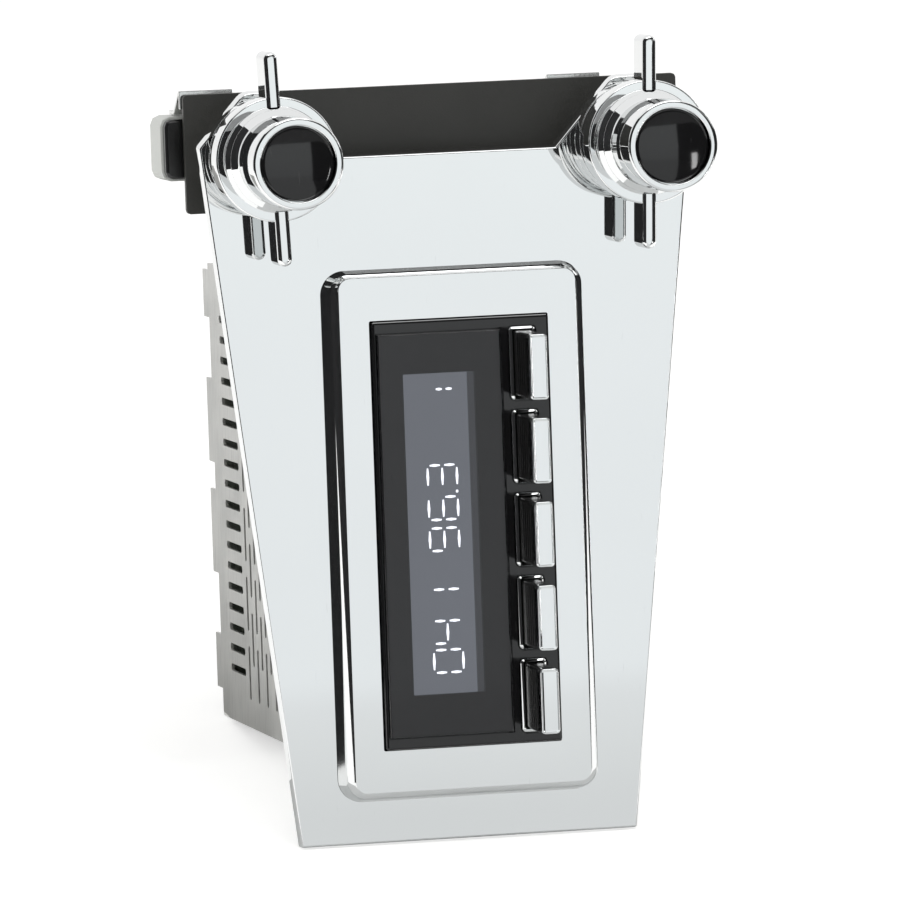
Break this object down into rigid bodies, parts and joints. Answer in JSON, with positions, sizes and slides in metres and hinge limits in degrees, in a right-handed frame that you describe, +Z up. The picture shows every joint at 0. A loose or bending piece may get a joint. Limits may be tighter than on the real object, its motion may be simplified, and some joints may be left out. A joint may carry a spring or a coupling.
{
  "type": "car radio",
  "caption": "Upright car radio for a console: chromed plate with display and push buttons, knob stacks with wings on its ears, and a perforated chassis behind.",
  "frame": {"origin": "middle of the floor under the radio's box: the plate's lower edge and the chassis's rear edge stand on it", "axes": "+Z up from the floor, +X to the right of someone facing the plate, +Y away from them into the radio; the plate leans back 6.8 degrees"},
  "size_m": [0.1306, 0.1972, 0.1994],
  "materials": {
    "chrome": "mirror-bright chromium plate",
    "gloss_black": "high-gloss black moulding",
    "smoked_lens": "polished smoked acrylic",
    "display_grey": "negative liquid crystal panel, lit grey",
    "matte_black": "matte black",
    "sheet_steel": "zinc-plated sheet",
    "bright_steel": "bright nickel-plated steel",
    "aluminium": "extruded, natural",
    "grey_can": "pale grey moulding",
    "board_green": "glass-fibre circuit board with green resist"
  },
  "bodies": {
    "radio": {"aerial_socket": "bright_steel", "bezel": "chrome", "button_ring_1": "chrome", "button_ring_2": "chrome", "button_ring_3": "chrome", "button_ring_4": "chrome", "button_ring_5": "chrome", "chassis_frame": "sheet_steel", "display_board": "board_green", "display_lens": "smoked_lens", "display_panel": "display_grey", "faceplate": "chrome", "heat_sink": "aluminium", "left_bush": "bright_steel", "left_collar": "chrome", "left_control_board": "board_green", "left_control_bracket": "bright_steel", "left_control_can": "grey_can", "left_control_housing": "matte_black", "left_cover": "sheet_steel", "left_nut": "bright_steel", "left_spacer": "bright_steel", "main_board": "board_green", "nose": "gloss_black", "power_socket": "gloss_black", "right_bush": "bright_steel", "right_collar": "chrome", "right_control_board": "board_green", "right_control_bracket": "bright_steel", "right_control_can": "grey_can", "right_control_housing": "matte_black", "right_cover": "sheet_steel", "right_nut": "bright_steel", "right_spacer": "bright_steel", "support_plate": "matte_black", "tuner_can": "bright_steel"},
    "button_1": {"button_stem_1": "matte_black", "button_cap_1": "chrome"},
    "button_2": {"button_stem_2": "matte_black", "button_cap_2": "chrome"},
    "button_3": {"button_stem_3": "matte_black", "button_cap_3": "chrome"},
    "button_4": {"button_stem_4": "matte_black", "button_cap_4": "chrome"},
    "button_5": {"button_stem_5": "matte_black", "button_cap_5": "chrome"},
    "left_wing_knob": {"left_rear_knob": "chrome", "left_outer_shaft": "bright_steel"},
    "left_press": {"left_plunger": "bright_steel"},
    "left_dial": {"left_front_knob": "chrome", "left_knob_inlay": "gloss_black", "left_inner_shaft": "bright_steel"},
    "right_wing_knob": {"right_rear_knob": "chrome", "right_outer_shaft": "bright_steel"},
    "right_press": {"right_plunger": "bright_steel"},
    "right_dial": {"right_front_knob": "chrome", "right_knob_inlay": "gloss_black", "right_inner_shaft": "bright_steel"}
  },
  "joints": [
    {"name": "button_1_press", "type": "slide", "parent": "radio", "child": "button_1", "axis": [0, 0.993, -0.1181], "range_m": [0, 0.002], "stiffness_N_per_m": 700},
    {"name": "button_2_press", "type": "slide", "parent": "radio", "child": "button_2", "axis": [0, 0.993, -0.1181], "range_m": [0, 0.002], "stiffness_N_per_m": 700},
    {"name": "button_3_press", "type": "slide", "parent": "radio", "child": "button_3", "axis": [0, 0.993, -0.1181], "range_m": [0, 0.002], "stiffness_N_per_m": 700},
    {"name": "button_4_press", "type": "slide", "parent": "radio", "child": "button_4", "axis": [0, 0.993, -0.1181], "range_m": [0, 0.002], "stiffness_N_per_m": 700},
    {"name": "button_5_press", "type": "slide", "parent": "radio", "child": "button_5", "axis": [0, 0.993, -0.1181], "range_m": [0, 0.002], "stiffness_N_per_m": 700},
    {"name": "left_wing_turn", "type": "hinge", "parent": "radio", "child": "left_wing_knob", "pos_m": [-0.04455, -0.05436, 0.17098], "axis": [0, 0.993, -0.1181], "range_deg": [-135, 135]},
    {"name": "left_dial_press", "type": "slide", "parent": "radio", "child": "left_press", "axis": [0, 0.993, -0.1181], "range_m": [0, 0.0012], "stiffness_N_per_m": 2500},
    {"name": "left_dial_turn", "type": "hinge", "parent": "left_press", "child": "left_dial", "pos_m": [-0.04455, -0.05436, 0.17098], "axis": [0, 0.993, -0.1181], "continuous": true},
    {"name": "right_wing_turn", "type": "hinge", "parent": "radio", "child": "right_wing_knob", "pos_m": [0.04905, -0.05436, 0.17098], "axis": [0, 0.993, -0.1181], "range_deg": [-135, 135]},
    {"name": "right_dial_press", "type": "slide", "parent": "radio", "child": "right_press", "axis": [0, 0.993, -0.1181], "range_m": [0, 0.0012], "stiffness_N_per_m": 2500},
    {"name": "right_dial_turn", "type": "hinge", "parent": "right_press", "child": "right_dial", "pos_m": [0.04905, -0.05436, 0.17098], "axis": [0, 0.993, -0.1181], "continuous": true}
  ]
}
